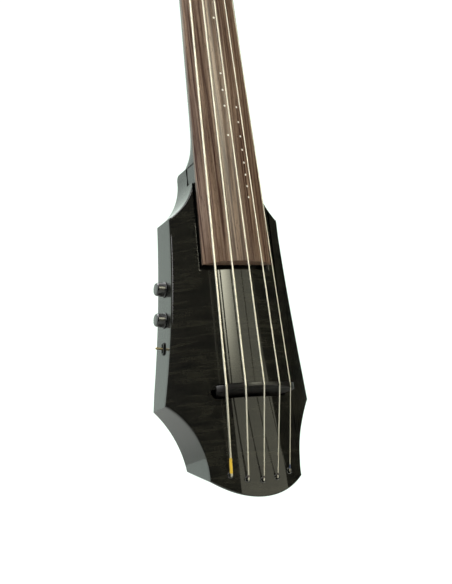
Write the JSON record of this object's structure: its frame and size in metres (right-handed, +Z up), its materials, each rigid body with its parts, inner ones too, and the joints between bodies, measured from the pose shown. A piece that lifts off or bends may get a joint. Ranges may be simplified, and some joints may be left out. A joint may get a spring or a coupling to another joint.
{
  "type": "electric double bass",
  "caption": "Solid-body electric upright bass with an arched flamed-maple top, long fretless board, bridge, and side-mounted controls.",
  "frame": {"origin": "centre of the mouth of the stand thread, in the face of the stand plate on the lower back", "axes": "+Z up the neck, along the middle string within a degree; +X to the viewer's right seen from the front, towards the thinnest string; +Y out of the back"},
  "size_m": [0.2188, 0.1309, 1.4224],
  "materials": {
    "lacquered_back": "gloss black lacquer over solid wood",
    "flamed_maple": "translucent black gloss lacquer over flamed maple",
    "black_maple": "black stained maple, satin lacquer",
    "rosewood": "oiled rosewood",
    "ebony": "polished ebony",
    "pearl": "polished white",
    "steel": "plain",
    "black_plastic": "gloss black",
    "piezo_brass": "plain",
    "string_winding": "nickel-coloured ribbon winding",
    "silk": "wound thread",
    "black_metal": "gloss black",
    "chrome": "polished",
    "lever_metal": "worn nickel on brass",
    "board_green": "glass-fibre board",
    "wire_rubber": "black insulation",
    "cover_plastic": "textured black",
    "alloy": "satin"
  },
  "bodies": {
    "instrument": {"body_core": "lacquered_back", "top_plate": "flamed_maple", "neck": "black_maple", "fingerboard": "rosewood", "position_dots": "pearl", "nut": "ebony", "truss_rod": "steel", "truss_rod_cover": "black_plastic", "truss_cover_screws": "steel", "neck_bolts": "steel", "bridge": "ebony", "bridge_height_screws": "steel", "bridge_pickups": "piezo_brass", "string_silks": "silk", "ball_ends": "piezo_brass", "front_ferrules": "black_metal", "rear_ferrules": "chrome", "control_pots": "steel", "pot_nuts": "chrome", "toggle_switch": "steel", "toggle_screws": "steel", "toggle_bezel": "black_plastic", "output_jack": "chrome", "jack_plate": "black_metal", "jack_screws": "steel", "circuit_board": "board_green", "wiring": "wire_rubber", "cavity_cover": "cover_plastic", "cavity_screws": "steel", "stand_plate": "alloy", "stand_plate_screws": "steel", "tuner_frames": "black_metal", "tuner_bushings": "black_metal", "tuner_screws": "steel", "string_b": "string_winding", "string_e": "string_winding", "string_a": "string_winding", "string_d": "string_winding", "string_g": "string_winding"},
    "volume_control": {"volume_knob": "black_plastic", "volume_shaft": "steel"},
    "tone_control": {"tone_knob": "black_plastic", "tone_shaft": "steel"},
    "toggle": {"toggle_lever": "lever_metal"},
    "key_b": {"tuner_key_b": "black_metal"},
    "post_b": {"tuner_post_b": "chrome", "tuner_gear_b": "piezo_brass"},
    "key_e": {"tuner_key_e": "black_metal"},
    "post_e": {"tuner_post_e": "chrome", "tuner_gear_e": "piezo_brass"},
    "key_a": {"tuner_key_a": "black_metal"},
    "post_a": {"tuner_post_a": "chrome", "tuner_gear_a": "piezo_brass"},
    "key_d": {"tuner_key_d": "black_metal"},
    "post_d": {"tuner_post_d": "chrome", "tuner_gear_d": "piezo_brass"},
    "key_g": {"tuner_key_g": "black_metal"},
    "post_g": {"tuner_post_g": "chrome", "tuner_gear_g": "piezo_brass"}
  },
  "joints": [
    {"name": "volume_turn", "type": "hinge", "parent": "instrument", "child": "volume_control", "pos_m": [-0.08894, -0.0375, 0.1889], "axis": [-0.9966, 0, 0.0826], "range_deg": [-150, 150]},
    {"name": "tone_turn", "type": "hinge", "parent": "instrument", "child": "tone_control", "pos_m": [-0.09299, -0.0348, 0.1458], "axis": [-0.9946, 0, 0.1042], "range_deg": [-150, 150]},
    {"name": "toggle_swing", "type": "hinge", "parent": "instrument", "child": "toggle", "pos_m": [-0.08557, -0.0318, 0.10522], "axis": [0, 1, 0], "range_deg": [-12, 12]},
    {"name": "key_turn_b", "type": "hinge", "parent": "instrument", "child": "key_b", "pos_m": [-0.028, -0.07268, 1.17102], "axis": [-1, 0, 0], "continuous": true},
    {"name": "post_turn_b", "type": "hinge", "parent": "instrument", "child": "post_b", "pos_m": [-0.028, -0.08321, 1.15739], "axis": [0, 0.9848, -0.1736], "continuous": true},
    {"name": "key_turn_e", "type": "hinge", "parent": "instrument", "child": "key_e", "pos_m": [-0.026, -0.06313, 1.22518], "axis": [-1, 0, 0], "continuous": true},
    {"name": "post_turn_e", "type": "hinge", "parent": "instrument", "child": "post_e", "pos_m": [-0.026, -0.07366, 1.21155], "axis": [0, 0.9848, -0.1736], "continuous": true},
    {"name": "key_turn_a", "type": "hinge", "parent": "instrument", "child": "key_a", "pos_m": [-0.022, -0.05358, 1.27935], "axis": [-1, 0, 0], "continuous": true},
    {"name": "post_turn_a", "type": "hinge", "parent": "instrument", "child": "post_a", "pos_m": [-0.022, -0.06411, 1.26572], "axis": [0, 0.9848, -0.1736], "continuous": true},
    {"name": "key_turn_d", "type": "hinge", "parent": "instrument", "child": "key_d", "pos_m": [0.022, -0.05844, 1.25177], "axis": [1, 0, 0], "continuous": true},
    {"name": "post_turn_d", "type": "hinge", "parent": "instrument", "child": "post_d", "pos_m": [0.022, -0.06897, 1.23814], "axis": [0, 0.9848, -0.1736], "continuous": true},
    {"name": "key_turn_g", "type": "hinge", "parent": "instrument", "child": "key_g", "pos_m": [0.028, -0.06799, 1.19761], "axis": [1, 0, 0], "continuous": true},
    {"name": "post_turn_g", "type": "hinge", "parent": "instrument", "child": "post_g", "pos_m": [0.028, -0.07852, 1.18398], "axis": [0, 0.9848, -0.1736], "continuous": true}
  ],
  "couplings": [
    {"joint": "post_turn_b", "follows": "key_turn_b", "ratio": -0.055556},
    {"joint": "post_turn_e", "follows": "key_turn_e", "ratio": -0.055556},
    {"joint": "post_turn_a", "follows": "key_turn_a", "ratio": -0.055556},
    {"joint": "post_turn_d", "follows": "key_turn_d", "ratio": -0.055556},
    {"joint": "post_turn_g", "follows": "key_turn_g", "ratio": -0.055556}
  ]
}
